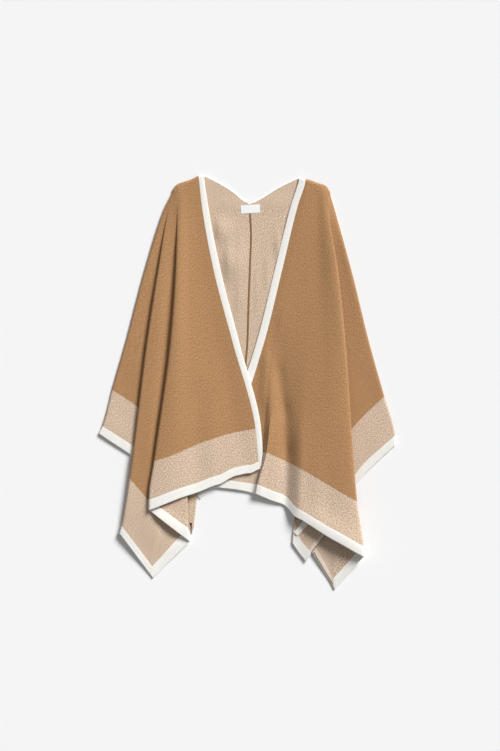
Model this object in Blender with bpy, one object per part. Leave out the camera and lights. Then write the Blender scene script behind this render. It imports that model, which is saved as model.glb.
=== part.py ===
"""Open-front knit poncho, laid flat on its back panels, front up.

Millimetres here, metres in the mesh. +X is the viewer's right, +Y runs from the hem to the
neck, +Z is up from the surface that it lies on. The origin is the bottom centre of the whole.

Each half is a front and a back. A front is one wall of cloth with fan pleats that start at the
shoulder. Its fold lines are the rows of a table, and a section of the wall runs through them
from the opening edge to the arm.
"""

import bmesh
import bpy
import numpy as np

MM = 0.001
CLOTH = 2.6  # double-faced knit
TRIM = 2.6  # the cream edging
GAP = 0.3  # left at every seam
BACK_TOP = CLOTH
CENTRE = (1.1, 532.5)  # middle of the whole in the tables' x and y, which is the origin

CAMEL = (0.474, 0.275, 0.123)
OATMEAL = (0.577, 0.443, 0.337)
CREAM = (0.89, 0.87, 0.82)
BROWN = (0.27, 0.16, 0.08)
WHITE = (0.92, 0.92, 0.91)

# Stations down every fold line, as a share of its way from the shoulder to the hem edge.
STATIONS = ("rim", "crest", "yoke", "chest", "waist", "border", "trim", "edge")
SHARES = (0.0, 0.025, 0.11, 0.32, 0.54, 0.86, 0.975, 1.0)
BORDER = SHARES[STATIONS.index("border")]
TRIM_LINE = SHARES[STATIONS.index("trim")]
SHOULDER_ROWS = (0.0, 0.012, 0.025, 0.06)  # close rows where the cloth rolls over
SEAM = 0.0006  # half the gap at a seam between rows, as a share
LEAST_REACH = 0.8  # keeps a fold's three points apart where it fades out
MOST_REACH = 0.35  # of the way to the next fold line
PROBE, CORNER_PROBE = 0.004, 0.01  # share to each side of a row that its normals are taken from
SHARP = 0.7  # radians between faces that meet at a sharp edge
# How far a fold has rounded out at each station, as a share of its full radius.
ROUNDING = (0.0, 0.0, 0.55, 0.8, 1.0, 1.0, 0.9, 0.9)

CORNER_LINES = ("corner", "face")  # fold lines that meet a corner of the hem

# Fold lines of the left front, from the opening to the arm: full fold radius, then x, y and z of
# the middle of the cloth at each station. Radius 0 is a line that the cloth passes unfolded.
LEFT_FRONT = {
    "opening": (0, (-123, 1060, 4.2), (-122, 1054, 8.5), (-114, 983, 9.0), (-84, 819, 9.0),
                (-37, 640, 9.5), (23, 413, 12.5), (31, 330, 13.5), (34, 311, 13.5)),
    "inner": (0, (-142, 1050, 4.2), (-141, 1043, 8.5), (-132, 983, 9.5), (-116, 819, 10.0),
              (-88, 640, 10.5), (-38, 402, 13.0), (-31, 314, 13.5), (-28, 293, 13.5)),
    "middle": (0, (-160, 1044, 4.2), (-159, 1037, 8.5), (-151, 983, 11.0), (-145, 819, 15.0),
               (-137, 640, 17.5), (-119, 376, 20.0), (-119, 278, 19.5), (-119, 253, 19.0)),
    "outer": (0, (-172, 1040, 4.2), (-170, 1033, 8.5), (-166, 983, 13.6), (-168, 819, 24.0),
              (-173, 640, 30.0), (-186, 347, 33.0), (-191, 254, 30.0), (-191, 228, 29.0)),
    "front fold": (7.0, (-177, 1038, 4.2), (-175, 1032, 8.5), (-175, 982, 12.4),
                   (-180, 819, 22.0), (-193, 640, 27.0), (-235, 331, 28.5), (-248, 233, 27.0),
                   (-248, 206, 26.0)),
    "return fold": (2.0, (-179, 1036, 4.2), (-177, 1029, 8.4), (-179, 980, 9.0),
                    (-165, 819, 13.3), (-160, 640, 14.9), (-152, 282, 14.9), (-150, 161, 10.6),
                    (-145, 125, 9.6)),
    "corner": (0, (-182, 1034, 4.2), (-179, 1027, 8.3), (-188, 979, 9.2), (-193, 819, 12.8),
               (-204, 640, 13.9), (-220, 196, 11.8), (-241, 61, 3.6), (-239, 31, 2.9)),
    "arm fold": (4.2, (-184, 1031, 4.2), (-182, 1023, 8.2), (-197, 978, 7.8), (-225, 819, 11.8),
                 (-253, 640, 13.4), (-298, 287, 13.4), (-318, 165, 10.0), (-324, 146, 9.0)),
    "hidden fold": (1.9, (-186, 1028, 4.2), (-184, 1021, 8.1), (-200, 977, 5.9),
                    (-214, 819, 6.0), (-201, 640, 6.3), (-183, 392, 6.3), (-163, 282, 6.1),
                    (-157, 256, 6.1)),
    "arm": (0, (-187, 1027, 4.2), (-185, 1019, 8.0), (-203, 975, 4.9), (-234, 814, 4.4),
            (-257, 637, 4.4), (-281, 471, 4.4), (-291, 370, 4.5), (-295, 346, 4.6)),
    "arm crest": (0, (-188, 1025, 4.2), (-186, 1018, 7.0), (-205, 975, 6.2), (-255, 818, 6.5),
                  (-302, 639, 6.5), (-340, 510, 6.5), (-364, 417, 6.0), (-375, 399, 6.0)),
    "arm rim": (0, (-189, 1024, 4.2), (-189, 1021, 4.2), (-210, 977, 4.2), (-260, 819, 4.2),
                (-307, 640, 4.2), (-344, 511, 4.2), (-368, 420, 4.2), (-377, 402, 4.2)),
}
LEFT_OPENING_EDGE = ((-108, 1063, 4.2), (-108, 1057, 8.2), (-98, 983, 8.4), (-66, 819, 8.4),
                     (-20, 640, 9.0), (37, 415, 12.2), (41, 353, 13.2), (38, 325, 13.2))

# The right front lies under the left one, so its opening edge and a tuck are hidden there.
RIGHT_FRONT = {
    "opening": (0, (150, 1051, 4.2), (150, 1044, 8.5), (131, 983, 9.0), (91, 819, 8.2),
                (47, 640, 6.6), (-45, 361, 5.2), (-72, 284, 5.2), (-90, 264, 5.2)),
    "tuck": (0, (156, 1050, 4.2), (156, 1043, 8.5), (145, 983, 9.0), (116, 819, 8.8),
             (76, 640, 7.4), (4, 356, 5.8), (-22, 278, 5.7), (-24, 257, 5.7)),
    "below ridge": (0, (161, 1049, 4.2), (161, 1042, 8.5), (152, 983, 9.1), (132, 819, 9.3),
                    (99, 640, 9.2), (45, 353, 5.4), (23, 271, 5.3), (18, 248, 5.3)),
    "ridge": (0, (164, 1048, 4.2), (164, 1041, 8.5), (157, 983, 9.2), (141, 819, 10.2),
              (115, 640, 11.4), (51, 352, 16.5), (29, 271, 14.5), (24, 247, 13.5)),
    "valley": (0, (170, 1046, 4.2), (170, 1039, 8.5), (168, 983, 9.5), (158, 819, 11.0),
               (134, 640, 12.6), (102, 329, 7.6), (99, 240, 7.2), (97, 215, 6.8)),
    "middle": (0, (180, 1042, 4.2), (180, 1036, 8.5), (183, 983, 10.0), (191, 819, 15.5),
               (184, 640, 17.5), (143, 309, 22.0), (136, 209, 21.5), (132, 187, 20.5)),
    "outer": (0, (196, 1037, 4.2), (195, 1030, 8.5), (198, 983, 13.5), (214, 819, 23.0),
              (227, 640, 28.0), (239, 252, 30.0), (244, 146, 28.5), (243, 119, 27.5)),
    "front fold": (8.0, (205, 1032, 4.2), (201, 1024, 8.5), (206, 980, 12.8), (232, 819, 20.0),
                   (251, 640, 23.0), (281, 228, 22.5), (297, 115, 20.5), (299, 87, 19.5)),
    "corner": (0, (207, 1029, 4.2), (204, 1021, 8.4), (209, 977, 8.9), (216, 814, 11.4),
               (219, 635, 11.8), (232, 115, 8.6), (222, 30, 3.4), (226, 1, 2.9)),
    "hidden fold": (2.2, (209, 1026, 4.2), (206, 1018, 8.2), (211, 974, 6.4), (214, 809, 6.5),
                    (209, 630, 6.8), (180, 282, 6.8), (170, 124, 4.2), (166, 100, 3.9)),
    "arm": (0, (210, 1023, 4.2), (207, 1015, 7.8), (215, 973, 5.0), (244, 814, 4.4),
            (265, 635, 4.4), (270, 413, 4.4), (285, 306, 4.4), (285, 276, 4.4)),
    "arm crest": (0, (212, 1020, 4.2), (209, 1012, 7.0), (220, 974, 6.2), (263, 818, 6.5),
                  (307, 639, 6.5), (348, 492, 6.5), (376, 393, 6.0), (377, 369, 6.0)),
    "arm rim": (0, (214, 1018, 4.2), (214, 1014, 4.2), (225, 975, 4.2), (268, 819, 4.2),
                (312, 640, 4.2), (353, 493, 4.2), (380, 396, 4.2), (382, 371, 4.2)),
}
RIGHT_OPENING_EDGE = ((134, 1057, 4.2), (134, 1051, 8.2), (113, 983, 8.6), (72, 819, 7.8),
                      (27, 640, 6.2), (-65, 367, 5.2), (-88, 290, 5.2), (-97, 270, 5.2))

# The back panels lie flat. Each outline starts at the centre seam's top and goes to the arm.
SEAM_TOP = (8.0, 986.0)
LEFT_BACK = ((-9, 996), (-29, 1013), (-67, 1038), (-105, 1057), (-124, 1056), (-141, 1046),
             (-175, 1034), (-185, 1021), (-208, 971), (-250, 838), (-296, 664), (-341, 511),
             (-376, 404), (-296, 353), (-246, 320), (-212, 290), (-186, 250), (-152, 180),
             (-147, 158), (-134, 158), (-128, 192), (-125, 246), (-93, 275), (-46, 299))
RIGHT_BACK = ((26, 994), (47, 1006), (86, 1030), (131, 1052), (150, 1047), (168, 1042),
              (190, 1034), (208, 1023), (214, 1010), (252, 866), (302, 664), (350, 492),
              (376, 400), (374, 372), (330, 332), (292, 320), (250, 345), (190, 345),
              (120, 320), (60, 290))

# The corner of the right back that shows under the front hem: a fold line and two edges. The
# radius is negative where the cloth turns up over itself, not under.
BACK_CORNER = {
    "under": (0, (163, 205, 1.7), (157, 187, 1.7), (165, 176, 1.7)),
    "fold": (-1.9, (130, 215, 3.5), (121, 157, 3.5), (118, 120, 3.5)),
    "face": (0, (170, 190, 10.5), (143, 123, 7.5), (134, 96, 5.0)),
    "side": (0, (208, 148, 12.4), (166, 95, 9.5), (153, 73, 6.0)),
}
CORNER_SHARES = (0.0, 0.8, 1.0)
CORNER_SEAM = (0.005, 0.012)  # shares left before and after its trim line

LABEL = (52.0, 21.0, 0.5)  # wide, tall, thick
LABEL_AT = (10.0, 975.0)
LABEL_TURN = 0.06
SEAM_LINE = ((9.5, 962), (12, 909), (9.5, 832), (6, 742), (3, 640), (-3, 560), (-6, 420),
             (-6, 300))
SEAM_WIDTH, SEAM_THICK = 5.0, 0.5
NECK_TRIM_WIDTH = 3.0  # the cream neck edging is seen edge on
BACK_TRIM_WIDTH = 14.0
BACK_HEM = ((-125, 246), (-93, 275), (-46, 299), (-6, 300))  # the shown end of the left back


def material(name, colour):
    found = bpy.data.materials.get(name)
    if found:
        return found
    made = bpy.data.materials.new(name)
    made.use_nodes = True
    shader = made.node_tree.nodes["Principled BSDF"]
    shader.inputs["Base Color"].default_value = (*colour, 1)
    shader.inputs["Roughness"].default_value = 0.9
    shader.inputs["Metallic"].default_value = 0
    return made


def add_object(name, points, faces, finish):
    mesh = bpy.data.meshes.new(name)
    placed = (np.asarray(points, float) - (*CENTRE, 0)) * MM
    mesh.from_pydata(placed.tolist(), [], faces)
    solid = bmesh.new()
    solid.from_mesh(mesh)
    bmesh.ops.recalc_face_normals(solid, faces=solid.faces)
    if solid.calc_volume(signed=True) < 0:
        bmesh.ops.reverse_faces(solid, faces=solid.faces)
    solid.to_mesh(mesh)
    solid.free()
    mesh.shade_smooth()
    mesh.set_sharp_from_angle(angle=SHARP)
    mesh.materials.append(finish)
    made = bpy.data.objects.new(name, mesh)
    bpy.context.scene.collection.objects.link(made)
    return made


def smooth_through(knots, values, at):
    """Monotone cubic through values, an array with one row a knot, read at the places asked."""
    knots, values, at = np.asarray(knots, float), np.asarray(values, float), np.asarray(at, float)
    width = np.diff(knots)[:, None]
    slope = np.diff(values, axis=0) / width
    tangent = np.zeros_like(values)
    tangent[0], tangent[-1] = slope[0], slope[-1]
    before, after = slope[:-1], slope[1:]
    weight_a, weight_b = 2 * width[1:] + width[:-1], width[1:] + 2 * width[:-1]
    same_way = before * after > 0
    safe_before, safe_after = np.where(same_way, before, 1), np.where(same_way, after, 1)
    mean = (weight_a + weight_b) / (weight_a / safe_before + weight_b / safe_after)
    tangent[1:-1] = np.where(same_way, mean, 0)
    i = np.clip(np.searchsorted(knots, at, side="right") - 1, 0, len(knots) - 2)
    w = width[i]
    u = (at - knots[i])[:, None] / w
    return (
        (1 + 2 * u) * (1 - u) ** 2 * values[i]
        + u * (1 - u) ** 2 * w * tangent[i]
        + u * u * (3 - 2 * u) * values[i + 1]
        + u * u * (u - 1) * w * tangent[i + 1]
    )


def section_points(folds, shares, at):
    """Control points of each section: rows are the places asked, columns run across the cloth.

    A fold line gives three points: the upper face's end, the tip and the lower face's start.
    """
    names = list(folds)
    lines = {n: smooth_through(shares, folds[n][1:], at) for n in names}
    rounding = ROUNDING if len(shares) == len(ROUNDING) else (1.0,) * len(shares)
    share_round = smooth_through(shares, np.array(rounding)[:, None], at)
    columns = []
    for k, name in enumerate(names):
        line, radius = lines[name], abs(folds[name][0]) * share_round
        if not folds[name][0]:
            columns.append(line)
            continue
        lift = radius * np.array([0, 0, 1.0])
        up = np.sign(folds[name][0])
        for other, sign in ((names[k - 1], up), (None, 0), (names[k + 1], -up)):
            if other is None:
                columns.append(line)
                continue
            away = lines[other] - line
            away[:, 2] = 0
            far = np.linalg.norm(away, axis=1, keepdims=True)
            reach = np.minimum(np.maximum(radius, LEAST_REACH), MOST_REACH * far)
            columns.append(line + away / np.maximum(far, 1e-6) * reach + sign * lift)
    return np.stack(columns, axis=1)


def corner_columns(folds):
    """Which columns of a section are corner lines, counting three for each fold."""
    found, column = [], 0
    for name, row in folds.items():
        if name in CORNER_LINES:
            found.append(column)
        column += 3 if row[0] else 1
    return found


def across(columns, steps, corners):
    """A smooth curve through each row of columns, with the same number of steps a span.

    At a corner line the plan turns sharply and only the height is smooth.
    """
    rows, count, _ = columns.shape
    ghost_a = 2 * columns[:, :1] - columns[:, 1:2]
    ghost_b = 2 * columns[:, -1:] - columns[:, -2:-1]
    p = np.concatenate([ghost_a, columns, ghost_b], axis=1)
    pieces = []
    for k in range(count - 1):
        p0, p1, p2, p3 = (p[:, k + i] for i in range(4))
        length = np.linalg.norm(p2 - p1, axis=1, keepdims=True)
        # Tangents are scaled to the span, so a short fold isn't thrown wide by a long face.
        t1 = (p2 - p0) / np.maximum(np.linalg.norm(p2 - p0, axis=1, keepdims=True), 1e-6) * length
        t2 = (p3 - p1) / np.maximum(np.linalg.norm(p3 - p1, axis=1, keepdims=True), 1e-6) * length
        for tangent, column in ((t1, k), (t2, k + 1)):
            if column in corners:
                tangent[:, :2] = (p2 - p1)[:, :2]
        span = steps[k]
        for i in range(span):
            u = i / span
            pieces.append(
                (2 * u**3 - 3 * u**2 + 1) * p1
                + (u**3 - 2 * u**2 + u) * t1
                + (3 * u**2 - 2 * u**3) * p2
                + (u**3 - u**2) * t2
            )
    pieces.append(columns[:, -1])
    return np.stack(pieces, axis=1)


def face_normals(grid, down=None):
    """Unit normals of a grid of points, from its change along the rows and down the columns."""
    if down is None:
        down = np.gradient(grid, axis=0)
    normal = np.cross(np.gradient(grid, axis=1), down)
    return normal / np.maximum(np.linalg.norm(normal, axis=2, keepdims=True), 1e-9)


def wall(name, grid, normals, thick, finish):
    """A closed wall of cloth: the grid moved out both ways by half its thickness, with a rim."""
    rows, columns, _ = grid.shape
    half = thick / 2 * normals
    points = np.concatenate([(grid + half).reshape(-1, 3), (grid - half).reshape(-1, 3)])
    index = np.arange(rows * columns).reshape(rows, columns)
    other = rows * columns
    a, b, c, d = (x.ravel() for x in (index[:-1, :-1], index[:-1, 1:], index[1:, 1:], index[1:, :-1]))
    faces = [list(f) for f in zip(a, b, c, d)]
    faces += [[x + other for x in reversed(f)] for f in zip(a, b, c, d)]
    border = [*index[0], *index[1:, -1], *index[-1, -2::-1], *index[-2:0:-1, 0]]
    faces += [
        [p, q, q + other, p + other] for p, q in zip(border, border[1:] + border[:1])
    ]
    return add_object(name, points, [[int(i) for i in f] for f in faces], finish)


def slab(name, outline, z_low, thick, finish):
    """A flat piece with straight sides, from an outline in x and y."""
    count = len(outline)
    low = [(x, y, z_low) for x, y in outline]
    high = [(x, y, z_low + thick) for x, y in outline]
    faces = [list(range(count)), [count + i for i in range(count)]]
    faces += [[i, (i + 1) % count, count + (i + 1) % count, count + i] for i in range(count)]
    return add_object(name, low + high, faces, finish)


def surface(folds, shares, at, steps):
    return across(section_points(folds, shares, at), steps, corner_columns(folds))


def surface_and_normals(folds, shares, at, steps, probe):
    """Normals come from the surface beyond the rows too, so neighbours meet edge to edge."""
    grid = surface(folds, shares, at, steps)
    near = [np.clip(at + s, 0, 1) for s in (-probe, probe)]
    above, below = (surface(folds, shares, t, steps) for t in near)
    return grid, face_normals(grid, below - above)


def steps_for(folds, broad):
    """Steps a span: few round a fold's three points, and more over a broad face."""
    kinds = []
    for name, row in folds.items():
        kinds += ["fold"] * 3 if row[0] else ["line"]
    return [2 if a == b == "fold" else broad for a, b in zip(kinds, kinds[1:])]


def front(side, folds, opening_edge):
    """A front: its camel field, oatmeal band and cream hem trim, all in one folded surface."""
    steps = steps_for(folds, 2)
    field_rows = np.concatenate([SHOULDER_ROWS, np.linspace(0.11, BORDER - 3 * SEAM, 10)])
    band_rows = np.linspace(BORDER + 2 * SEAM, TRIM_LINE - 2 * SEAM, 4)
    trim_rows = np.array([TRIM_LINE + SEAM, 1.0])
    parts = (
        ("field", field_rows, CLOTH, material("camel knit", CAMEL)),
        ("band", band_rows, CLOTH, material("oatmeal knit", OATMEAL)),
        ("hem_trim", trim_rows, TRIM, material("cream trim", CREAM)),
    )
    for part, at, thick, finish in parts:
        grid, normals = surface_and_normals(folds, SHARES, at, steps, PROBE)
        wall(f"{side}_front_{part}", grid, normals, thick, finish)
    rows = np.concatenate([field_rows, band_rows, trim_rows])
    opening_trim(side, rows, folds["opening"][1:], opening_edge)


def opening_trim(side, at, seam_line, free_line):
    """The cream edging down the opening, between the front's edge and its own free edge."""
    seam, free = (smooth_through(SHARES, line, at) for line in (seam_line, free_line))
    toward = free - seam
    toward[:, 2] = 0
    toward /= np.linalg.norm(toward, axis=1, keepdims=True)
    seam = seam + toward * 2 * GAP
    grid = np.stack([seam, (seam + free) / 2, free], axis=1)
    wall(f"{side}_opening_trim", grid, face_normals(grid), TRIM, material("cream trim", CREAM))


def back_panels():
    # The backs show the inner face of the cloth, which is oatmeal.
    oatmeal, cream = material("oatmeal knit", OATMEAL), material("cream trim", CREAM)
    seam_edge = [SEAM_TOP, *SEAM_LINE]
    half_gap = GAP / 2
    left = [(x - half_gap, y) for x, y in seam_edge]
    right = [(x + half_gap, y) for x, y in seam_edge]
    slab("left_back", [*LEFT_BACK, *reversed(left)], 0, BACK_TOP, oatmeal)
    slab("right_back", [*RIGHT_BACK, *reversed(right)], 0, BACK_TOP, oatmeal)
    neck = [*reversed(LEFT_BACK[:4]), SEAM_TOP, *RIGHT_BACK[:4]]
    strip("back_neck_trim", neck, GAP, GAP + NECK_TRIM_WIDTH, 0, BACK_TOP, cream)
    strip("left_back_hem_trim", BACK_HEM, -GAP, -BACK_TRIM_WIDTH, 0, BACK_TOP, cream)


def strip(name, line, near, far, z_low, thick, finish):
    """A flat ribbon beside a line, from near to far to the left of its way."""
    line = np.array(line, float)
    along = np.gradient(line, axis=0)
    side = np.stack([-along[:, 1], along[:, 0]], axis=1)
    side /= np.linalg.norm(side, axis=1, keepdims=True)
    outline = np.concatenate([line + near * side, (line + far * side)[::-1]])
    slab(name, outline.tolist(), z_low, thick, finish)


def label_and_seam():
    wide, tall, thick = LABEL
    turn = np.array([[np.cos(LABEL_TURN), np.sin(LABEL_TURN)],
                     [-np.sin(LABEL_TURN), np.cos(LABEL_TURN)]])
    corners = np.array([(-1, -1), (1, -1), (1, 1), (-1, 1)]) * (wide / 2, tall / 2)
    outline = (corners @ turn + LABEL_AT).tolist()
    slab("label", outline, BACK_TOP + GAP, thick, material("white label", WHITE))
    half = SEAM_WIDTH / 2
    strip("centre_back_seam", SEAM_LINE, -half, half, BACK_TOP + GAP, SEAM_THICK,
          material("brown seam", BROWN))


def back_corner():
    """The right back's hem corner, folded once, with its trim and its turned side edge."""
    steps = steps_for(BACK_CORNER, 3)
    oatmeal, cream = material("oatmeal knit", OATMEAL), material("cream trim", CREAM)
    line = CORNER_SHARES[1]
    before, after = CORNER_SEAM
    for name, at, thick, finish in (
        ("right_back_corner", np.linspace(0, line - before, 4), CLOTH, oatmeal),
        ("right_back_corner_trim", np.linspace(line + after, 1, 2), TRIM, cream),
    ):
        grid, normals = surface_and_normals(BACK_CORNER, CORNER_SHARES, at, steps, CORNER_PROBE)
        wall(name, grid, normals, thick, finish)


def main():
    for old in list(bpy.data.objects):
        bpy.data.objects.remove(old, do_unlink=True)
    front("left", LEFT_FRONT, LEFT_OPENING_EDGE)
    front("right", RIGHT_FRONT, RIGHT_OPENING_EDGE)
    back_panels()
    label_and_seam()
    back_corner()


main()
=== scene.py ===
import math

import bmesh
import bpy
import numpy as np
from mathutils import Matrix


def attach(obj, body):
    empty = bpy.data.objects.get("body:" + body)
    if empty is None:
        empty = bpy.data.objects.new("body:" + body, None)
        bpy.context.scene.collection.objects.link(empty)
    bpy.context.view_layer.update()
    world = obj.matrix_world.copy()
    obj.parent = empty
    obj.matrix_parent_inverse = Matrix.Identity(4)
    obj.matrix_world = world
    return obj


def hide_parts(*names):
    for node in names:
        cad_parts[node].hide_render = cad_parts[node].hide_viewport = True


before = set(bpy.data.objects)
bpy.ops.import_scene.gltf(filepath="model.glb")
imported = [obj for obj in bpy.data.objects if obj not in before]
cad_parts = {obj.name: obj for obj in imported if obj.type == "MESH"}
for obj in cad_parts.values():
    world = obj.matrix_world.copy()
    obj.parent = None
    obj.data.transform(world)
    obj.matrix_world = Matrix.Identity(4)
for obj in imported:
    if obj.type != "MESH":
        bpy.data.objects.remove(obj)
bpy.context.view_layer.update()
print("frame loaded")

# The garment is laid out in millimetres, with the fold lines of the solids, and moved to the
# frame's origin as its mesh is made. X is the photo's right and y runs from hem to neck.
mm = 0.001
origin = (1.1, 532.5)

cloth = {
    "thickness": 2.2,  # double-faced fine knit
    "trimThickness": 2.8,  # the edging is doubled over the edge
    "foldSteps": 6,  # across each of a fold's two halves
    "faceSteps": 14,  # across a broad face
    "fieldRows": 110,
    "bandRows": 26,
    "trimRows": 8,
    "backRows": 150,
    "backColumns": 90,
    "hemInset": 0.3,  # a sewn or covered edge starts its rounding this far in
    "openingInset": 0.4,
    "openingRounding": 1.0,
}
edgeSteps = (0.05, 0.2, 0.45, 0.8, 1.3)  # millimetres in from an edge that is seen
# Shares of the way from shoulder to hem at which the tables give a place.
shares = (0.0, 0.025, 0.11, 0.32, 0.54, 0.86, 0.975, 1.0)
border, trimLine = 0.86, 0.975  # where the band and the hem trim start
# The share of its radius that a fold has there: the pleats are pressed flat at the shoulder.
foldRounding = (0.0, 0.0, 0.1, 0.75, 1.0, 1.0, 0.9, 0.9)
leastReach = 0.8  # from a fold's tip to the start of its faces, in millimetres

# Each fold line: its radius, then x, y and z at each share. A radius of 0 is no fold.
leftFront = {
    "opening": (0, (-123, 1060, 4.2), (-122, 1054, 8.5), (-114, 983, 9.0), (-84, 819, 9.0),
                (-37, 640, 9.5), (23, 413, 12.5), (31, 330, 13.5), (34, 311, 13.5)),
    "inner": (0, (-142, 1050, 4.2), (-141, 1043, 8.5), (-132, 983, 9.5), (-116, 819, 10.0),
              (-88, 640, 10.5), (-38, 402, 13.0), (-31, 314, 13.5), (-28, 293, 13.5)),
    "middle": (0, (-160, 1044, 4.2), (-159, 1037, 8.5), (-151, 983, 11.0), (-145, 819, 15.0),
               (-137, 640, 17.5), (-119, 376, 20.0), (-119, 278, 19.5), (-119, 253, 19.0)),
    "outer": (0, (-172, 1040, 4.2), (-170, 1033, 8.5), (-166, 983, 13.0), (-168, 819, 22.5),
              (-173, 640, 27.5), (-186, 347, 29.5), (-191, 254, 28.0), (-191, 228, 27.0)),
    "front fold": (4.6, (-177, 1038, 4.2), (-175, 1032, 8.5), (-175, 982, 12.0),
                   (-180, 819, 19.5), (-193, 640, 23.0), (-235, 331, 24.0), (-248, 233, 23.5),
                   (-248, 206, 23.0)),
    "return fold": (2.0, (-179, 1036, 4.2), (-177, 1029, 8.4), (-179, 980, 11.4),
                    (-165, 819, 13.3), (-160, 640, 14.9), (-152, 282, 14.9), (-150, 161, 10.6),
                    (-145, 125, 9.6)),
    "corner": (0, (-182, 1034, 4.2), (-179, 1027, 8.3), (-188, 979, 9.9), (-193, 819, 12.8),
               (-204, 640, 13.9), (-220, 196, 11.8), (-241, 61, 3.6), (-239, 31, 2.9)),
    "arm fold": (4.2, (-184, 1031, 4.2), (-182, 1023, 8.2), (-197, 978, 8.4), (-225, 819, 11.8),
                 (-253, 640, 13.4), (-298, 287, 13.4), (-318, 165, 10.0), (-324, 146, 9.0)),
    "hidden fold": (1.9, (-186, 1028, 4.2), (-184, 1021, 8.1), (-200, 977, 7.9),
                    (-214, 819, 6.0), (-201, 640, 6.3), (-183, 392, 6.3), (-163, 282, 6.1),
                    (-157, 256, 6.1)),
    "arm": (0, (-187, 1027, 4.2), (-185, 1019, 8.0), (-203, 975, 7.3), (-234, 814, 4.4),
            (-257, 637, 4.4), (-281, 471, 4.4), (-291, 370, 4.5), (-295, 346, 4.6)),
    "arm crest": (0, (-188, 1025, 4.2), (-186, 1018, 7.0), (-205, 975, 6.8), (-255, 818, 6.5),
                  (-302, 639, 6.5), (-340, 510, 6.5), (-364, 417, 6.0), (-375, 399, 6.0)),
    "arm rim": (0, (-189, 1024, 4.2), (-189, 1021, 4.2), (-210, 977, 4.2), (-260, 819, 4.2),
                (-307, 640, 4.2), (-344, 511, 4.2), (-368, 420, 4.2), (-377, 402, 4.2)),
}
leftOpeningEdge = ((-108, 1063, 4.2), (-108, 1057, 8.2), (-98, 983, 8.4), (-66, 819, 8.4),
                   (-20, 640, 9.0), (37, 415, 12.2), (41, 353, 13.2), (36, 320, 13.2))
rightFront = {
    "opening": (0, (150, 1051, 4.2), (150, 1044, 7.4), (131, 983, 7.0), (91, 819, 6.2),
                (47, 640, 5.8), (-45, 361, 5.2), (-72, 284, 5.2), (-90, 264, 5.2)),
    "tuck": (0, (156, 1050, 4.2), (156, 1043, 8.5), (144, 983, 9.0), (108, 819, 8.7),
             (55, 640, 6.8), (4, 356, 5.6), (-22, 278, 5.7), (-24, 257, 5.7)),
    "below ridge": (0, (161, 1049, 4.2), (161, 1042, 8.5), (149, 983, 9.1), (120, 819, 9.2),
                    (64, 640, 7.8), (38, 353, 6.4), (23, 271, 5.3), (18, 248, 5.3)),
    "ridge": (0, (164, 1048, 4.2), (164, 1041, 8.5), (153, 983, 9.2), (127, 819, 9.7),
              (77, 640, 9.8), (51, 352, 16.5), (29, 271, 14.5), (24, 247, 13.5)),
    "valley": (0, (170, 1046, 4.2), (170, 1039, 8.5), (164, 983, 9.5), (144, 819, 10.4),
               (96, 640, 10.4), (102, 329, 7.6), (99, 240, 7.2), (97, 215, 6.8)),
    "middle": (0, (180, 1042, 4.2), (180, 1036, 8.5), (181, 983, 10.0), (183, 819, 14.5),
               (158, 640, 17.5), (143, 309, 22.0), (136, 209, 21.5), (132, 187, 20.5)),
    "outer": (0, (196, 1037, 4.2), (195, 1030, 8.5), (198, 983, 12.8), (214, 819, 21.5),
              (227, 640, 26.0), (239, 252, 28.0), (244, 146, 27.5), (243, 119, 27.0)),
    "front fold": (5.2, (205, 1032, 4.2), (201, 1024, 8.5), (206, 980, 11.8), (232, 819, 18.0),
                   (251, 640, 21.0), (281, 228, 21.5), (297, 115, 20.5), (299, 87, 19.5)),
    "corner": (0, (207, 1029, 4.2), (204, 1021, 8.4), (209, 977, 11.0), (216, 814, 11.4),
               (219, 635, 11.8), (232, 115, 8.6), (222, 30, 3.4), (226, 1, 2.9)),
    "hidden fold": (2.2, (209, 1026, 4.2), (206, 1018, 8.2), (211, 974, 10.2), (214, 809, 6.5),
                    (209, 630, 6.8), (180, 282, 6.8), (170, 124, 4.2), (166, 100, 3.9)),
    "arm": (0, (210, 1023, 4.2), (207, 1015, 7.8), (215, 973, 8.8), (244, 814, 4.4),
            (265, 635, 4.4), (270, 413, 4.4), (285, 306, 4.4), (285, 276, 4.4)),
    "arm crest": (0, (212, 1020, 4.2), (209, 1012, 7.0), (220, 974, 6.9), (263, 818, 6.5),
                  (307, 639, 6.5), (348, 492, 6.5), (376, 393, 6.0), (377, 369, 6.0)),
    "arm rim": (0, (214, 1018, 4.2), (214, 1014, 4.2), (225, 975, 4.2), (268, 819, 4.2),
                (312, 640, 4.2), (353, 493, 4.2), (380, 396, 4.2), (382, 371, 4.2)),
}
rightOpeningEdge = ((134, 1057, 4.2), (134, 1051, 6.0), (113, 983, 5.0), (72, 819, 5.3),
                    (27, 640, 4.8), (-65, 367, 5.2), (-88, 290, 5.2), (-97, 270, 5.2))

# Soft troughs and ridges: x and y of both ends, depth (up is negative) and half width,
# and the fold lines between which the cloth takes them.
leftCreases = (
    (-122, 520, -128, 280, 2.0, 24, "opening", "front fold"),
    (-150, 800, -160, 430, 1.2, 20, "opening", "front fold"),
    (-62, 640, -30, 430, 1.3, 22, "opening", "front fold"),
    (-90, 470, -84, 290, -1.0, 20, "opening", "front fold"),
    (-18, 420, -2, 310, 1.3, 20, "opening", "front fold"),
    (-300, 560, -330, 430, 1.0, 22, "arm", "arm rim"),
    (-262, 420, -285, 230, 0.9, 20, "return fold", "arm fold"),
    (-236, 250, -262, 120, -0.8, 22, "return fold", "arm fold"),
    (-214, 840, -240, 300, -1.6, 24, "corner", "arm fold"),
    (-186, 860, -238, 320, 2.8, 12, "return fold", "arm fold"),
    (-222, 196, -158, 128, 4.5, 26, "return fold", "corner"),
    (-236, 196, -170, 150, 5.0, 26, "front fold", "return fold"),
)
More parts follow.
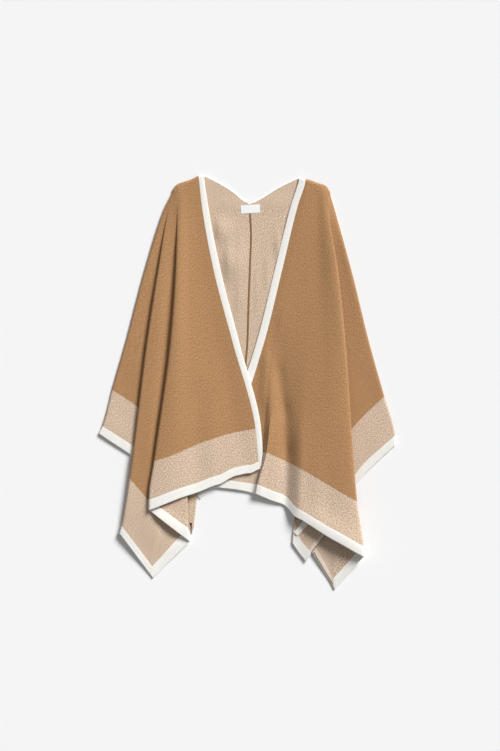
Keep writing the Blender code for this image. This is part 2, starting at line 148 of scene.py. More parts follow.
rightCreases = (
    (72, 700, 80, 520, 1.8, 16, "tuck", "outer"),
    (52, 610, 46, 468, -4.5, 14, "opening", "ridge"),
    (78, 580, 98, 440, 3.0, 15, "tuck", "outer"),
    (97, 480, 102, 330, 3.4, 15, "ridge", "outer"),
    (102, 380, 99, 205, 3.4, 14, "ridge", "outer"),
    (62, 440, 27, 235, -4.0, 10, "ridge", "valley"),
    (136, 430, 138, 190, -2.5, 16, "valley", "front fold"),
    (150, 190, 330, 80, -7.0, 34, "valley", "front fold"),
    (318, 96, 205, 158, -4.0, 24, "front fold", "corner"),
    (186, 900, 196, 560, 1.1, 22, "valley", "front fold"),
    (214, 620, 222, 380, -0.9, 22, "valley", "front fold"),
    (150, 300, 152, 210, 1.0, 16, "valley", "front fold"),
    (205, 330, 206, 180, 1.1, 18, "valley", "front fold"),
    (300, 560, 330, 430, 1.0, 22, "arm", "arm rim"),
)

# The hem's small waves: x, half width and how far the edge moves along y.
hemWaves = {
    "left": ((12, 13, -5.0), (-12, 12, -2.0), (-64, 16, -4.0), (-160, 30, 1.5)),
    "right": ((94, 14, 2.5), (122, 12, -3.5), (60, 20, -1.0), (205, 26, -1.5)),
}


def smoothThrough(knots, values, at):
    # Monotone cubic: the slope at a knot is the weighted harmonic mean of the slopes beside it,
    # or nought where they differ in sign, so the curve never passes a value it was given.
    knots, values, at = (np.asarray(x, float) for x in (knots, values, at))
    width = np.diff(knots)[:, None]
    slope = np.diff(values, axis=0) / width
    tangent = np.zeros_like(values)
    tangent[0], tangent[-1] = slope[0], slope[-1]
    before, after = slope[:-1], slope[1:]
    weightA, weightB = 2 * width[1:] + width[:-1], width[1:] + 2 * width[:-1]
    sameWay = before * after > 0
    safeBefore, safeAfter = np.where(sameWay, before, 1), np.where(sameWay, after, 1)
    mean = (weightA + weightB) / (weightA / safeBefore + weightB / safeAfter)
    tangent[1:-1] = np.where(sameWay, mean, 0)
    i = np.clip(np.searchsorted(knots, at, side="right") - 1, 0, len(knots) - 2)
    w = width[i]
    u = (at - knots[i])[:, None] / w
    return (
        (1 + 2 * u) * (1 - u) ** 2 * values[i]
        + u * (1 - u) ** 2 * w * tangent[i]
        + u * u * (3 - 2 * u) * values[i + 1]
        + u * u * (u - 1) * w * tangent[i + 1]
    )


def sectionPoints(folds, stations, rounding, at):
    # A line of no radius gives one point a row. A fold gives three: its tip, and above and below
    # it the starts of the two faces, one radius back towards each.
    names = list(folds)
    lines = {n: smoothThrough(stations, folds[n][1:], at) for n in names}
    rounded = smoothThrough(stations, np.array(rounding)[:, None], at)
    columns, owners = [], []
    for k, name in enumerate(names):
        line, radius = lines[name], abs(folds[name][0]) * rounded
        if not folds[name][0]:
            columns.append(line)
            owners.append(name)
            continue
        lift = radius * np.array([0, 0, 1.0])
        up = np.sign(folds[name][0])
        for other, sign in ((names[k - 1], up), (None, 0), (names[k + 1], -up)):
            point = line
            if other:
                away = lines[other] - line
                away[:, 2] = 0
                far = np.linalg.norm(away, axis=1, keepdims=True)
                reach = np.minimum(np.maximum(radius, leastReach), 0.35 * far)
                point = line + away / np.maximum(far, 1e-6) * reach + sign * lift
            columns.append(point)
            owners.append(name)
    return np.stack(columns, axis=1), owners


def unit(vectors):
    return vectors / np.maximum(np.linalg.norm(vectors, axis=-1, keepdims=True), 1e-9)


def alongSection(points, owners, corners):
    # Hermite curve through each row of points. A point's tangent runs between its neighbours and
    # is as long as the span. At a corner line the plan turns sharply and only the height is
    # smooth. The first and last spans get close steps for the cloth's rounded edge. Returns the
    # grid and each column's place, counted in spans.
    first, last = 2 * points[:, :1] - points[:, 1:2], 2 * points[:, -1:] - points[:, -2:-1]
    p = np.concatenate([first, points, last], axis=1)
    spans = points.shape[1] - 1
    out, place = [], []
    for k in range(spans):
        p0, p1, p2, p3 = (p[:, k + i] for i in range(4))
        length = np.linalg.norm(p2 - p1, axis=1, keepdims=True)
        t1, t2 = unit(p2 - p0) * length, unit(p3 - p1) * length
        for tangent, owner in ((t1, owners[k]), (t2, owners[k + 1])):
            if owner in corners:
                tangent[:, :2] = (p2 - p1)[:, :2]
        folded = owners[k] == owners[k + 1]
        u = np.linspace(0, 1, cloth["foldSteps" if folded else "faceSteps"], endpoint=False)
        near = np.array(edgeSteps) / np.median(length)
        if k == 0:
            u = np.unique(np.concatenate([u, near]))
        if k == spans - 1:
            u = np.unique(np.concatenate([u, 1 - near]))
        v = u[None, :, None]
        a, ta, b, tb = (x[:, None] for x in (p1, t1, p2, t2))
        out.append((2 * v**3 - 3 * v**2 + 1) * a + (v**3 - 2 * v**2 + v) * ta
                   + (3 * v**2 - 2 * v**3) * b + (v**3 - v**2) * tb)
        place.append(k + u)
    out.append(points[:, -1:])
    place.append(np.array([spans]))
    return np.concatenate(out, axis=1), np.concatenate(place)


def surfaceNormals(grid, turn):
    # The cross product of the differences along rows and columns.
    return unit(np.cross(np.gradient(grid, axis=1), np.gradient(grid, axis=0))) * turn


def arcs(grid, axis):
    # Distance walked along an axis of the grid, from its first point.
    steps = np.linalg.norm(np.diff(grid, axis=axis), axis=2)
    start = np.zeros_like(np.take(steps, [0], axis=axis))
    return np.cumsum(np.concatenate([start, steps], axis=axis), axis=axis)


thinnest = 0.02  # share of its thickness left at the very edge


def roundedEdge(distance, radius):
    # Quarter circle: how thick the cloth is, as a share, at a distance from its edge.
    inside = 1 - np.clip(distance / radius, thinnest, 1)
    return np.sqrt(1 - inside**2)


def waveHem(grid, place, owners, rows, waves):
    # Bells in x that shift the hem up or down its own plane, growing from the band to the edge.
    grow = np.clip((rows - border) / (1 - border), 0, 1)[:, None]
    upper = (place <= owners.index("front fold"))[None, :]
    for x, width, shift in waves:
        grid[..., 1] += shift * grow * upper * np.exp(-((grid[..., 0] - x) / width) ** 2)
    return grid


creaseEnds = {"full": 0.3, "fade": 0.22, "steepness": 1.5}


def pressCreases(grid, normals, place, owners, creases):
    # Each crease is a bell across its line, pushed up or down, less where the cloth is steep. It
    # has its full depth for 0.3 of its length both ways from its middle, and fades as a bell.
    moved = grid.copy()
    facing = np.clip(creaseEnds["steepness"] * normals[..., 2], -1, 1)
    for x1, y1, x2, y2, depth, width, start, end in creases:
        a, b = np.array([x1, y1], float), np.array([x2, y2], float)
        along = (b - a) / np.linalg.norm(b - a)
        offset = grid[..., :2] - a
        t = (offset @ along) / np.linalg.norm(b - a)
        side = offset[..., 0] * along[1] - offset[..., 1] * along[0]
        beyond = np.maximum(np.abs(t - 0.5) - creaseEnds["full"], 0)
        fade = np.exp(-(beyond / creaseEnds["fade"]) ** 2)
        first = len(owners) - 1 - owners[::-1].index(start)
        last = owners.index(end) + (1.0 if owners.count(end) > 1 else 0.5)
        between = (place >= first) & (place <= last)
        push = depth * np.exp(-(side / width) ** 2) * fade * between[None, :]
        moved[..., 2] -= facing * push
    return moved


def addPiece(name, points, faces, materials, slots, uv=None):
    mesh = bpy.data.meshes.new(name)
    placed = (np.asarray(points, float) - (*origin, 0)) * mm
    mesh.from_pydata(placed, [], faces)
    for material in materials:
        mesh.materials.append(material)
    if slots is not None:
        mesh.polygons.foreach_set("material_index", slots)
    if uv is not None:
        corner = np.empty(len(mesh.loops), int)
        mesh.loops.foreach_get("vertex_index", corner)
        layer = mesh.uv_layers.new(name="knit")
        layer.data.foreach_set("uv", (uv[corner] * mm).ravel())
    solid = bmesh.new()
    solid.from_mesh(mesh)
    bmesh.ops.recalc_face_normals(solid, faces=solid.faces)
    if solid.calc_volume(signed=True) < 0:
        bmesh.ops.reverse_faces(solid, faces=solid.faces)
    solid.to_mesh(mesh)
    solid.free()
    mesh.shade_smooth()
    mesh.set_sharp_from_angle(angle=math.radians(50))
    piece = bpy.data.objects.new(name, mesh)
    bpy.context.scene.collection.objects.link(piece)
    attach(piece, "root")
    return piece


def shell(name, grid, normals, half, uv, outer, inner, patches=()):
    # The middle of the cloth moved out both ways by half its thickness, closed by a rim. A patch
    # is a mask over the grid, with the finish that its faces get on both sides.
    rows, columns, _ = grid.shape
    out = half[..., None] * normals
    points = np.concatenate([(grid + out).reshape(-1, 3), (grid - out).reshape(-1, 3)])
    index = np.arange(rows * columns).reshape(rows, columns)
    corners = index[:-1, :-1], index[:-1, 1:], index[1:, 1:], index[1:, :-1]
    front = np.stack([c.ravel() for c in corners], axis=1)
    back = front[:, ::-1] + rows * columns
    rim = np.concatenate([index[0], index[1:, -1], index[-1, -2::-1], index[-2:0:-1, 0]])
    after = np.roll(rim, -1)
    side = np.stack([rim, after, after + rows * columns, rim + rows * columns], axis=1)
    faces = np.concatenate([front, back, side])
    slots = np.zeros(len(faces), int)
    slots[len(front):len(front) * 2] = 1
    finishes = [outer, inner]
    for mask, finish in patches:
        chosen = mask[:-1, :-1].ravel() & mask[1:, 1:].ravel()
        slots[:len(front) * 2][np.tile(chosen, 2)] = len(finishes)
        finishes.append(finish)
    return addPiece(name, points, faces.tolist(), finishes, slots,
                    np.concatenate([uv, uv]).reshape(-1, 2))


def frontRows():
    # Shares for the field, band and trim, with close rows at the shoulder and the hem's edge.
    frontLength = 900
    edge = 1 - np.array(edgeSteps[::-1]) / frontLength
    field = np.concatenate([np.linspace(0, 0.11, 26, endpoint=False),
                            np.linspace(0.11, border, cloth["fieldRows"])])
    band = np.linspace(border, trimLine, cloth["bandRows"])
    trim = np.concatenate([np.linspace(trimLine, 0.997, cloth["trimRows"]), edge, [1.0]])
    return field, band, trim


def seamThread(name, path, radius):
    # A circle carried along a path, each point moved out sideways and up by its sine and cosine.
    path = np.asarray(path, float)
    side = unit(np.cross(unit(np.gradient(path, axis=0)), (0, 0, 1.0)))
    turn = np.linspace(0, 2 * math.pi, 9)[None, :-1, None]
    ring = path[:, None] + radius * (np.cos(turn) * side[:, None] + np.sin(turn) * (0, 0, 1.0))
    rows, count = ring.shape[:2]
    index = np.arange(rows * count).reshape(rows, count)
    after = np.roll(index, -1, axis=1)
    faces = np.stack([index[:-1], after[:-1], after[1:], index[1:]], axis=2).reshape(-1, 4)
    faces = faces.tolist() + [index[0].tolist(), index[-1][::-1].tolist()]
    piece = addPiece(name, ring.reshape(-1, 3), faces, [seamTape], None)
    return piece


def seamDip(distance):
    # The trim is a fifth thinner at its seam and full 1.5 mm from it.
    return 0.8 + 0.2 * roundedEdge(distance, 1.5)


def makeFront(side, folds, openingEdge, creases, corners, turn):
    parts = frontRows()
    rows = np.concatenate([parts[0], parts[1][1:], parts[2][1:]])
    points, owners = sectionPoints(folds, shares, foldRounding, rows)
    grid, place = alongSection(points, owners, corners)
    grid = waveHem(grid, place, owners, rows, hemWaves[side])
    normals = surfaceNormals(grid, turn)
    grid = pressCreases(grid, normals, place, owners, creases)
    normals = surfaceNormals(grid, turn)
    across, down = arcs(grid, 1), arcs(grid, 0)
    uv = np.stack([across, down], axis=2)
    radius = cloth["thickness"] / 2
    thick = radius * roundedEdge(across[:, -1:] - across, radius)
    thick *= roundedEdge(across + cloth["openingInset"], cloth["openingRounding"])
    thick *= roundedEdge(down + cloth["hemInset"], radius)
    ends = np.cumsum([0, len(parts[0]) - 1, len(parts[1]) - 1, len(parts[2]) - 1])
    finishes = {
        "field": (camelKnit, oatmealKnit, "camel_knit"),
        "band": (oatmealKnit, oatmealKnit, "oatmeal_knit"),
        "hem_trim": (creamTrim, creamTrim, "cream_trim"),
    }
    made = {}
    for k, (part, (outer, inner, slotName)) in enumerate(finishes.items()):
        cut = slice(ends[k], ends[k + 1] + 1)
        half = thick[cut]
        if part == "hem_trim":
            fromHem = down[-1:] - down[cut]
            fromSeam = down[cut] - down[ends[k]]
            trimHalf = cloth["trimThickness"] / 2
            half = half / radius * trimHalf * roundedEdge(fromHem, trimHalf)
            half = half * seamDip(fromSeam)
        patches = []
        if part == "hem_trim" and side == "right":
            turned = (place >= owners.index("corner")) & (place <= owners.index("hidden fold") + 1)
            patches.append((np.broadcast_to(turned, half.shape), turnedEdge))
        piece = shell(f"{side}Front{part.title().replace('_', '')}", grid[cut], normals[cut],
                      half, uv[cut], outer, inner, patches)
        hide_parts(f"{side}_front_{part}")
        made[part] = piece
        print(piece.name, "shell", round(float(across[cut][:, -1].mean())), "mm across",
              round(float((down[cut][-1] - down[cut][0]).mean())), "mm long")
    made["opening"] = makeOpeningTrim(side, rows, folds["opening"][1:], openingEdge, turn)
    return made, grid, place, owners


def makeOpeningTrim(side, rows, seamLine, freeLine, turn):
    # A ribbon between the front's edge and a free edge, slightly crowned across its width.
    seam, free = (smoothThrough(shares, line, rows) for line in (seamLine, freeLine))
    width = np.linalg.norm(free - seam, axis=1).mean()
    near = np.array(edgeSteps) / width
    u = np.unique(np.concatenate([[0, 1], near, np.linspace(0.1, 0.9, 9), 1 - near]))
    grid = free[:, None] * (1 - u[None, :, None]) + seam[:, None] * u[None, :, None]
    grid[..., 2] += 0.5 * np.sin(math.pi * u)
    normals = surfaceNormals(grid, turn)
    across, down = arcs(grid, 1), arcs(grid, 0)
    half, inset = cloth["trimThickness"] / 2, cloth["hemInset"]
    thick = half * roundedEdge(across, half) * seamDip(across[:, -1:] - across)
    thick = thick * roundedEdge(down + inset, half) * roundedEdge(down[-1:] - down + inset, half)
    piece = shell(f"{side}OpeningTrim", grid, normals, thick, np.stack([across, down], axis=2),
                  creamTrim, creamTrim)
    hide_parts(f"{side}_opening_trim")
    return piece


# The backs: the edge from neck tip to the foot of the centre seam, the arm edge, and the hem.
centreSeam = (
    (8, 986), (9.5, 962), (12, 909), (9.5, 832), (6, 742), (3, 640), (-3, 560), (-6, 420),
    (-6, 300),
)
backs = {
    "bandWidth": 86.0,  # the outer face's band, which lies underneath
    "trimWidth": 20.0,
    "left": {
        "neck": ((-105, 1057), (-67, 1038), (-29, 1013), (-9, 996), (8, 986)),
        "shoulder": ((-105, 1057), (-124, 1056)),
        "arm": ((-124, 1056), (-141, 1046), (-175, 1034), (-185, 1021), (-208, 971),
                (-250, 838), (-296, 664), (-341, 511), (-376, 404)),
        "hem": ((-6, 300), (-46, 299), (-93, 275), (-125, 250), (-160, 262), (-212, 290),
                (-246, 320), (-296, 353), (-376, 404)),
    },
    "right": {
        "neck": ((131, 1052), (86, 1030), (47, 1006), (26, 994), (8, 986)),
        "shoulder": ((131, 1052), (150, 1047)),
        "arm": ((150, 1047), (168, 1042), (190, 1034), (208, 1023), (214, 1010), (252, 866),
                (302, 664), (350, 492), (376, 400)),
        "hem": ((-6, 300), (60, 290), (120, 320), (190, 345), (250, 345), (292, 320),
                (330, 332), (374, 372), (376, 400)),
    },
}
# Soft waves of the back, seen in the neck opening: x, y, height, half widths along x and y.
gentleSide = 2.4  # how much wider a wave's right half is
backWaves = (
    (-68, 922, 6.0, 12, 28), (-43, 836, 8.0, 16, 42), (-16, 868, 1.6, 10, 45),
    (80, 880, 3.0, 9, 36), (54, 806, 2.4, 10, 46), (-18, 742, 2.4, 12, 50),
    (30, 756, 2.0, 12, 60), (-50, 984, 1.4, 30, 20), (72, 990, 1.4, 26, 20),
)


def byLength(points, count):
    # Points at even distances along a smooth curve through those given.
    points = np.asarray(points, float)
    t = np.concatenate([[0], np.cumsum(np.linalg.norm(np.diff(points, axis=0), axis=1))])
    fineCount = 400
    fine = smoothThrough(t, points, np.linspace(0, t[-1], fineCount))
    s = np.concatenate([[0], np.cumsum(np.linalg.norm(np.diff(fine, axis=0), axis=1))])
    at = np.linspace(0, s[-1], count)
    return np.stack([np.interp(at, s, fine[:, 0]), np.interp(at, s, fine[:, 1])], axis=1)


def backHeight(x, y):
    # The sum of the waves over the cloth's own half thickness. Each is a bell in x and y that
    # rises from the left and falls more gently on its right.
    z = np.full_like(x, cloth["thickness"] / 2)
    for cx, cy, high, wx, wy in backWaves:
        across = (x - cx) / np.where(x < cx, wx, wx * gentleSide)
        z += high * np.exp(-across**2 - ((y - cy) / wy) ** 2)
    return z


def backTop(plan):
    # The upper face of the back under each point of a plan.
    return backHeight(plan[..., 0], plan[..., 1]) + cloth["thickness"] / 2


def makeBack(side, turn):
    # Coons patch: the two pairs of edges blended across, less the blend of the four corners.
    data = backs[side]
    rows, columns = cloth["backRows"], cloth["backColumns"]
    inner = byLength((*data["neck"], *centreSeam[1:]), rows)
    arm = byLength(data["arm"], rows)
    top, hem = byLength(data["shoulder"], columns), byLength(data["hem"], columns)
    u, v = np.linspace(0, 1, columns)[None, :, None], np.linspace(0, 1, rows)[:, None, None]
    plan = (inner[:, None] * (1 - u) + arm[:, None] * u + top[None] * (1 - v) + hem[None] * v
            - (top[0] * (1 - u) + top[-1] * u) * (1 - v) - (hem[0] * (1 - u) + hem[-1] * u) * v)
    grid = np.concatenate([plan, backHeight(plan[..., 0], plan[..., 1])[..., None]], axis=2)
    normals = surfaceNormals(grid, turn)
    across, down = arcs(grid, 1), arcs(grid, 0)
    half = np.full(across.shape, cloth["thickness"] / 2)
    fromHem = down[-1:] - down
    patches = [(fromHem < backs["bandWidth"], oatmealKnit)]
    if side == "right":
        patches.append((fromHem < backs["trimWidth"], creamTrim))
    piece = shell(f"{side}Back", grid, normals, half, np.stack([across, down], axis=2),
                  oatmealKnit, camelKnit, patches)
    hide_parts(f"{side}_back")
    return piece


def ribbon(name, line, near, far, height, thick, material, lift=None):
    # A band beside a line, from near to far to the left of its way, rounded over its top. Near
    # and far may each be a pair, for the line's start and end.
    line = byLength(line, 120)
    side = unit(np.gradient(line, axis=0))[:, ::-1] * (-1, 1)
    u = np.linspace(0, 1, 9)
    near, far = (np.linspace(*np.broadcast_to(x, 2), len(line))[:, None] for x in (near, far))
    plan = line[:, None] + side[:, None] * (near + (far - near) * u)[..., None]
    base = np.full(plan.shape[:2], float(height)) if lift is None else lift(plan) + height
    grid = np.concatenate([plan, base[..., None]], axis=2)
    normals = np.zeros_like(grid) + (0, 0, 1.0)
    across, down = arcs(grid, 1), arcs(grid, 0)
    half = thick / 2 * roundedEdge(np.minimum(across, across[:, -1:] - across) + 0.1, thick / 2)
    piece = shell(name, grid, normals, half, np.stack([across, down], axis=2), material, material)
    return piece


def linear(code):
    # sRGB hex to linear: the standard curve, a straight part and a power of 2.4.
    channels = [int(code[i:i + 2], 16) / 255 for i in (0, 2, 4)]
    return [c / 12.92 if c <= 0.04045 else ((c + 0.055) / 1.055) ** 2.4 for c in channels] + [1]


def addNode(tree, kind, inputs=None, **settings):
    node = tree.nodes.new(kind)
    for name, value in settings.items():
        setattr(node, name, value)
    for name, value in (inputs or {}).items():
        if isinstance(value, bpy.types.NodeSocket):
            tree.links.new(value, node.inputs[name])
        else:
            node.inputs[name].default_value = value
    return node


def newFinish(name, roughness, sheen):
    material = bpy.data.materials.new(name)
    material.use_nodes = True
    shader = material.node_tree.nodes["Principled BSDF"]
    shader.inputs["Roughness"].default_value = roughness
    shader.inputs["Specular IOR Level"].default_value = 0.25
    shader.inputs["Sheen Weight"].default_value = sheen
    shader.inputs["Sheen Roughness"].default_value = 0.55
    return material, material.node_tree, shader


def knitFinish(name, look):
    # Wool knit: each stitch column is a row of Vs, so the height is a wave down the column whose
    # phase grows towards the column's sides, with a groove between columns. Heather is noise.
    material, tree, shader = newFinish(name, 0.92, look["sheen"])

    def calc(operation, a, b=0.0):
        return addNode(tree, "ShaderNodeMath", {0: a, 1: b}, operation=operation).outputs[0]

    place = addNode(tree, "ShaderNodeUVMap", uv_map="knit").outputs["UV"]
    split = addNode(tree, "ShaderNodeSeparateXYZ", {0: place})
    column = calc("DIVIDE", split.outputs["X"], look["column"])
    row = calc("DIVIDE", split.outputs["Y"], look["course"])
    leg = calc("MULTIPLY", calc("ABSOLUTE", calc("SUBTRACT", calc("FRACT", column), 0.5)), 2.0)
    phase = calc("MULTIPLY", calc("ADD", row, leg), 2 * math.pi)
    loop = calc("MULTIPLY", calc("SINE", phase), 0.5)
    groove = calc("POWER", leg, 4.0)
    stitch = calc("SUBTRACT", loop, groove)
    fibre = addNode(tree, "ShaderNodeMapping", {"Vector": place, "Scale": look["fibreStretch"]})
    heather = addNode(tree, "ShaderNodeTexNoise", {
        "Vector": fibre.outputs[0], "Scale": look["fibreScale"], "Detail": 4.0,
        "Roughness": 0.75})
    broad = addNode(tree, "ShaderNodeTexNoise", {"Vector": place, "Scale": 9.0, "Detail": 2.0})
    ramp = addNode(tree, "ShaderNodeValToRGB", {"Fac": heather.outputs["Fac"]})
    ramp.color_ramp.elements[0].position = 0.38
    ramp.color_ramp.elements[1].position = 0.62
    ramp.color_ramp.elements[0].color = linear(look["dark"])
    ramp.color_ramp.elements[1].color = linear(look["light"])
    middle = ramp.color_ramp.elements.new(0.5)
    middle.color = linear(look["base"])
    uneven = calc("MULTIPLY", calc("SUBTRACT", broad.outputs["Fac"], 0.5), look["patchy"])
    shade = calc("ADD", calc("MULTIPLY", stitch, look["stitchShade"]), uneven)
    tint = addNode(tree, "ShaderNodeHueSaturation", {
        "Color": ramp.outputs["Color"], "Value": calc("ADD", shade, 1.0)})
    tree.links.new(tint.outputs["Color"], shader.inputs["Base Color"])
    rough = calc("ADD", calc("MULTIPLY", heather.outputs["Fac"], look["fuzz"]), stitch)
    bump = addNode(tree, "ShaderNodeBump", {
        "Height": rough, "Strength": look["bump"], "Distance": look["depth"]})
    tree.links.new(bump.outputs["Normal"], shader.inputs["Normal"])
    return material


def wovenFinish(name, code, threads, sheen):
    # Woven tape or label: two crossed sine waves of threads, far below what the render shows.
    material, tree, shader = newFinish(name, 0.7, sheen)
    place = addNode(tree, "ShaderNodeTexCoord").outputs["Object"]
    split = addNode(tree, "ShaderNodeSeparateXYZ", {0: place})
    waves = []
    for axis in "XY":
        turns = addNode(tree, "ShaderNodeMath", {0: split.outputs[axis], 1: 2 * math.pi / threads},
                        operation="MULTIPLY")
        waves.append(addNode(tree, "ShaderNodeMath", {0: turns.outputs[0]}, operation="SINE"))
    weave = addNode(tree, "ShaderNodeMath", {0: waves[0].outputs[0], 1: waves[1].outputs[0]},
                    operation="ADD")
    bump = addNode(tree, "ShaderNodeBump", {
        "Height": weave.outputs[0], "Strength": 0.3, "Distance": 0.0002})
    tree.links.new(bump.outputs["Normal"], shader.inputs["Normal"])
    noise = addNode(tree, "ShaderNodeTexNoise", {"Vector": place, "Scale": 260.0})
    value = addNode(tree, "ShaderNodeMapRange", {
        "Value": noise.outputs["Fac"], "To Min": 0.94, "To Max": 1.05})
    tint = addNode(tree, "ShaderNodeHueSaturation", {
        "Color": linear(code), "Value": value.outputs["Result"]})
    tree.links.new(tint.outputs["Color"], shader.inputs["Base Color"])
    return material


# Brushed wool jersey, 2.2 mm columns: matt, with a soft sheen from the raised fibres. The real
# stitches are about 1.5 mm; they are drawn a little coarser to show.
camelKnit = knitFinish("brushed camel wool knit", {
    "base": "AD8258", "dark": "956C46", "light": "C3986D", "sheen": 0.12,
    "column": 0.0022, "course": 0.0018, "fibreStretch": (1.0, 0.6, 1.0), "fibreScale": 420.0,
    "stitchShade": 0.035, "patchy": 0.08, "fuzz": 0.5, "bump": 0.25, "depth": 0.0003,
})
# Heather of undyed cream and brown fibre, so it is speckled at the size of a stitch or two.
oatmealKnit = knitFinish("oatmeal heather wool knit", {
    "base": "CDB196", "dark": "9B7B5F", "light": "FAEBDC", "sheen": 0.10,
    "column": 0.0022, "course": 0.0018, "fibreStretch": (0.85, 1.1, 1.0), "fibreScale": 410.0,
    "stitchShade": 0.05, "patchy": 0.09, "fuzz": 0.4, "bump": 0.18, "depth": 0.0003,
})
# Undyed cream edging, a close rib that runs along the edge.
creamTrim = knitFinish("cream wool rib edging", {
    "base": "F9F6F0", "dark": "EFEBE3", "light": "FEFCF6", "sheen": 0.08,
    "column": 0.0026, "course": 0.0018, "fibreStretch": (1.0, 0.5, 1.0), "fibreScale": 900.0,
    "stitchShade": 0.03, "patchy": 0.04, "fuzz": 0.8, "bump": 0.5, "depth": 0.0005,
})


# Where the cloth's side is turned in, its smooth pale edge shows.
turnedEdge = knitFinish("pale turned knit edge", {
    "base": "E3D5C5", "dark": "D3C2AF", "light": "F0E6DA", "sheen": 0.08,
    "column": 0.0026, "course": 0.0018, "fibreStretch": (1.0, 0.5, 1.0), "fibreScale": 420.0,
    "stitchShade": 0.04, "patchy": 0.04, "fuzz": 1.0, "bump": 0.5, "depth": 0.0005,
})
labelSatin = wovenFinish("white woven label satin", "F8F8F6", 0.0009, 0.05)
seamTape = wovenFinish("brown seam binding", "886A42", 0.0012, 0.1)

leftPieces, *_ = makeFront("left", leftFront, leftOpeningEdge, leftCreases, ("corner",), 1)
rightPieces, rightGrid, rightPlace, rightOwners = makeFront(
    "right", rightFront, rightOpeningEdge, rightCreases, ("corner",), -1)
# A thread on the side that is turned up under the right hem, a few rows in from the hem's edge.
thread = {"row": -8, "pastCorner": 0.04, "lift": 1.6, "radius": 0.9}
onReturn = (rightPlace > rightOwners.index("corner") + thread["pastCorner"]) & (
    rightPlace < rightOwners.index("hidden fold"))
seamThread("rightSideThread", rightGrid[thread["row"]][onReturn] + (0, 0, thread["lift"]),
           thread["radius"])
print("fronts made")

leftBack, rightBack = makeBack("left", 1), makeBack("right", -1)
neckLine = (*backs["left"]["neck"], *backs["right"]["neck"][-2::-1])
neckTrim = ribbon("backNeckTrim", neckLine, near=-0.2, far=1.5, height=1.3, thick=2.4,
                  material=creamTrim)
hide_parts("back_neck_trim")
backHem = ((-128, 243), (-125, 246), (-93, 275), (-46, 299), (-6, 300))
hemTrim = ribbon("leftBackHemTrim", backHem, near=0.3, far=-14, height=1.3, thick=2.4,
                 material=creamTrim)
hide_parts("left_back_hem_trim")
strip = ribbon("leftBackSideStrip", ((-143, 158), (-141, 200), (-137, 262)), near=(7, 14),
               far=(-8, -13), height=1.3, thick=2.2, material=oatmealKnit)
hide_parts("left_back")
# A small camel sheet at the foot of the side strip: painted shade at the strip's foot.
ribbon("leftBackShadeTip", ((-147, 171), (-141, 144)), near=0, far=(9, 2), height=1.3, thick=2.2,
       material=camelKnit)
seam = ribbon("centreBackSeam", centreSeam[1:], near=2.2, far=-2.2, height=0.5, thick=1.4,
              material=seamTape, lift=backTop)
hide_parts("centre_back_seam")
print("backs made")

# The right back's corner under the hem: a fold line, a face and its side edge.
backCorner = {
    "under": (0, (163, 205, 1.7), (157, 187, 1.7), (165, 176, 1.7)),
    "fold": (-1.9, (130, 215, 3.5), (121, 157, 3.5), (118, 120, 3.5)),
    "face": (0, (170, 190, 10.5), (143, 123, 7.5), (134, 96, 5.0)),
    "side": (0, (208, 148, 12.4), (166, 95, 9.5), (153, 73, 6.0)),
}
cornerShares = (0.0, 0.8, 1.0)
cornerLook = {
    "faceRows": 40,
    "edgeWidth": 13.0,  # its turned side edge
    "shadePoint": (150, 186),  # camel is painted left of a slanting line by this point, as painted shade
    "shadeSlant": 1.05,
    "shadeBeyond": -12,
}


def makeBackCorner():
    split = cornerLook["faceRows"]
    rows = np.concatenate([np.linspace(0, cornerShares[1], split), np.linspace(0.82, 0.985, 10),
                           [0.993, 0.998, 1]])
    points, owners = sectionPoints(backCorner, cornerShares, (1.0,) * 3, rows)
    grid, _ = alongSection(points, owners, ("face",))
    normals = surfaceNormals(grid, -1)
    across, down = arcs(grid, 1), arcs(grid, 0)
    uv = np.stack([across, down], axis=2)
    radius = cloth["thickness"] / 2
    fromSide = across[:, -1:] - across
    half = radius * roundedEdge(fromSide, radius) * roundedEdge(down[-1:] - down, radius)
    edge = fromSide < cornerLook["edgeWidth"]
    # Left of that line the oatmeal corner is painted camel: painted shade under the right front's
    # hem.
    offset = grid[..., :2] - cornerLook["shadePoint"]
    cornerShadeMask = offset[..., 0] - offset[..., 1] * cornerLook["shadeSlant"] < cornerLook[
        "shadeBeyond"]
    for name, cut, finish, slotName, node in (
        ("rightBackCorner", slice(0, split), oatmealKnit, "oatmeal_knit", "right_back_corner"),
        ("rightBackCornerTrim", slice(split - 1, None), creamTrim, "cream_trim",
         "right_back_corner_trim"),
    ):
        patches = [(edge[cut], turnedEdge), (cornerShadeMask[cut], camelKnit)]
        piece = shell(name, grid[cut], normals[cut], half[cut], uv[cut], finish, finish,
                      patches if node == "right_back_corner" else ())
        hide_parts(node)
    return grid


cornerGrid = makeBackCorner()
sideRows = slice(4, cornerLook["faceRows"])
seamThread("rightBackCornerThread", cornerGrid[sideRows, -1] + (-0.8, 0.8, 1.3),
           thread["radius"])


def onCorner(plan):
    # The height of the corner's upper layer at each point of a plan: the highest of its points
    # that lie within 3 mm of the nearest one.
    points = cornerGrid.reshape(-1, 3)
    apart = np.linalg.norm(plan[..., None, :] - points[:, :2], axis=-1)
    near = np.where(apart < apart.min(axis=-1, keepdims=True) + 3, points[:, 2], 0)
    return near.max(axis=-1)


cornerTurn = ribbon("rightBackCornerTurn", ((162, 187), (124, 146)), near=9, far=(-9, -3),
                    height=2.6, thick=2.4, material=creamTrim,
                    lift=onCorner)
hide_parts("right_back_corner_trim")

# A blank woven label, slightly turned and bowed.
label = {
    "wide": 49.0, "tall": 21.0, "thick": 0.7, "x": 10.0, "y": 975.0, "turn": 0.06,
    "lift": 0.45, "bow": 0.25,
}


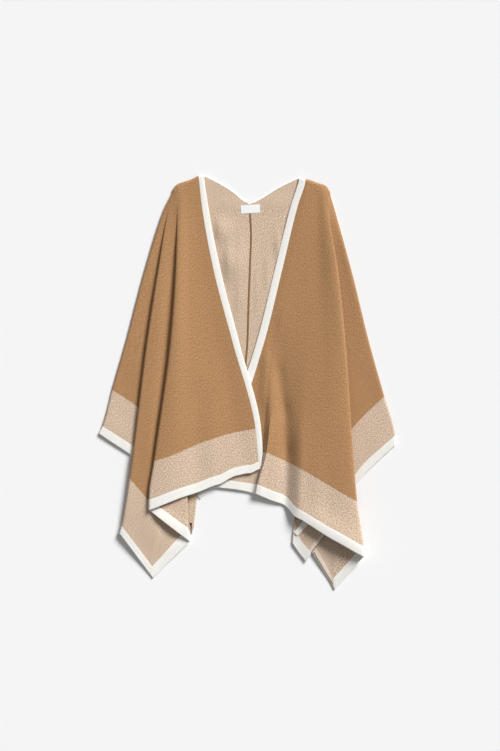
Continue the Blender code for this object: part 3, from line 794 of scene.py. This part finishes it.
def makeLabel():
    u, v = np.meshgrid(np.linspace(-1, 1, 41), np.linspace(1, -1, 21))
    bow = label["bow"] * np.cos(u * math.pi / 2) ** 2
    x, y = u * label["wide"] / 2, v * label["tall"] / 2
    c, s = math.cos(label["turn"]), math.sin(label["turn"])
    plan = np.stack([x * c - y * s + label["x"], x * s + y * c + label["y"]], axis=2)
    z = backTop(plan) + label["lift"] + bow
    grid = np.concatenate([plan, z[..., None]], axis=2)
    half = np.full(u.shape, label["thick"] / 2)
    piece = shell("label", grid, surfaceNormals(grid, 1), half, np.stack([x, y], axis=2),
                  labelSatin, labelSatin)
    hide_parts("label")
    return piece


makeLabel()

# The white ground, the light from the upper right and a camera straight above, as in the photo.
stage = {
    "floorColour": "F4F4F4", "floorSize": 8.0, "floorDrop": 0.0004, "worldStrength": 0.21,
    "distance": 4.2,
}
photoMiddle = (9.0 - origin[0], 549.1 - origin[1])  # millimetres in the frame
photoTall = 1.9226  # metres that the photo's height covers


def addFloor():
    half, low = stage["floorSize"] / 2, -stage["floorDrop"]
    mesh = bpy.data.meshes.new("floor")
    mesh.from_pydata([(-half, -half, low), (half, -half, low), (half, half, low),
                      (-half, half, low)], [], [(0, 1, 2, 3)])
    material = bpy.data.materials.new("matt white paper")
    material.use_nodes = True
    shader = material.node_tree.nodes["Principled BSDF"]
    shader.inputs["Base Color"].default_value = linear(stage["floorColour"])
    shader.inputs["Roughness"].default_value = 0.95
    shader.inputs["Specular IOR Level"].default_value = 0.1
    mesh.materials.append(material)
    floor = bpy.data.objects.new("floor", mesh)
    bpy.context.scene.collection.objects.link(floor)


def addLight(name, place, softness, strength):
    # Light from so far off that it falls evenly on the whole ground. Softness is in degrees.
    data = bpy.data.lights.new(name, "SUN")
    data.angle, data.energy = math.radians(softness), strength
    lamp = bpy.data.objects.new(name, data)
    lamp.location = place
    direction = np.array([0, 0.05, 0]) - np.array(place)
    yaw = math.atan2(direction[1], direction[0])
    pitch = math.acos(-direction[2] / np.linalg.norm(direction))
    lamp.rotation_euler = (pitch, 0, yaw - math.pi / 2)
    bpy.context.scene.collection.objects.link(lamp)


addFloor()
addLight("key", (6.1, 7.8, 6.4), 22, 4.4)
addLight("fill", (-5.0, -5.0, 8.0), 30, 0.15)
world = bpy.data.worlds.new("soft studio")
world.use_nodes = True
background = world.node_tree.nodes["Background"]
background.inputs["Color"].default_value = (1, 1, 1, 1)
background.inputs["Strength"].default_value = stage["worldStrength"]
bpy.context.scene.world = world
bpy.context.scene.view_settings.view_transform = "Standard"  # a white ground stays white

cameraData = bpy.data.cameras.new("photoCamera")
cameraData.sensor_width = 36.0
cameraData.lens = cameraData.sensor_width * stage["distance"] / photoTall
camera = bpy.data.objects.new("photoCamera", cameraData)
camera.location = (photoMiddle[0] * mm, photoMiddle[1] * mm, stage["distance"])
bpy.context.scene.collection.objects.link(camera)
bpy.context.scene.camera = camera
